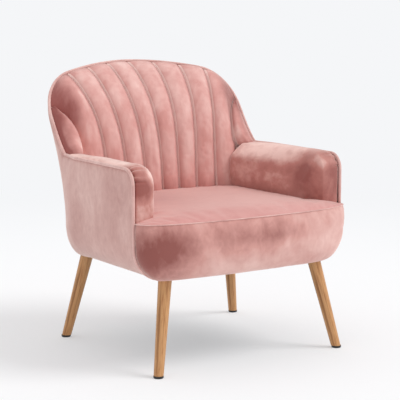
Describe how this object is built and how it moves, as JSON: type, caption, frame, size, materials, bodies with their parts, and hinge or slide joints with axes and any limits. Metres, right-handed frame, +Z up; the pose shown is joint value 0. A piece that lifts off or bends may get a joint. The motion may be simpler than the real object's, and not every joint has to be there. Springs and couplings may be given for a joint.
{
  "type": "upholstered armchair",
  "caption": "Low upholstered armchair with a rounded shell, a fan of padded vertical channels in its leaning back, thin piped arms and slim splayed tapered legs.",
  "frame": {"origin": "on the floor, midway between the outermost sides, front and back", "axes": "+X across the chair, to the right seen from the front; +Y from the front to the rear; +Z up"},
  "size_m": [0.653, 0.6792, 0.7629],
  "materials": {
    "velvet": "short-pile dusty pink velvet with a soft nap",
    "oak": "light natural oak, satin lacquer",
    "black_plastic": "black moulded plastic",
    "zinc_steel": "zinc-plated steel",
    "plywood": "unfinished plywood",
    "fibreboard": "thin grey-brown fibreboard",
    "webbing": "woven elastic webbing",
    "felt": "grey needled felt",
    "foam": "cream polyurethane foam",
    "wadding": "white polyester wadding",
    "lining": "black non-woven lining"
  },
  "bodies": {
    "root": {"leg_front_left": "oak", "leg_front_right": "oak", "leg_rear_left": "oak", "leg_rear_right": "oak", "leg_glides": "black_plastic", "glide_nails": "zinc_steel", "leg_bolts": "zinc_steel", "leg_insert_nuts": "zinc_steel", "leg_blocks": "plywood", "seat_front_rail": "plywood", "seat_rear_rail": "plywood", "seat_rail_left": "plywood", "seat_rail_right": "plywood", "arm_front_post_left": "plywood", "arm_front_post_right": "plywood", "arm_rear_post_left": "plywood", "arm_rear_post_right": "plywood", "arm_rail_left": "plywood", "arm_rail_right": "plywood", "back_post_left": "plywood", "back_post_right": "plywood", "back_top_rail": "plywood", "back_lower_rail": "plywood", "frame_screws": "zinc_steel", "seat_springs": "zinc_steel", "spring_clips": "zinc_steel", "spring_tie_wires": "zinc_steel", "back_webbing": "webbing", "seat_pad_felt": "felt", "seat_foam": "foam", "front_foam": "foam", "arm_foam_left": "foam", "arm_foam_right": "foam", "back_foam": "foam", "channel_fillings": "wadding", "side_board_left": "fibreboard", "side_board_right": "fibreboard", "back_board": "fibreboard", "seat_top_cover": "velvet", "front_border_cover": "velvet", "arm_cover_left": "velvet", "arm_cover_right": "velvet", "side_cover_left": "velvet", "side_cover_right": "velvet", "back_channel_cover": "velvet", "back_outer_cover": "velvet", "side_welt_left": "velvet", "side_welt_right": "velvet", "back_welt": "velvet", "seat_welt": "velvet", "dust_cover": "lining"}
  },
  "joints": []
}
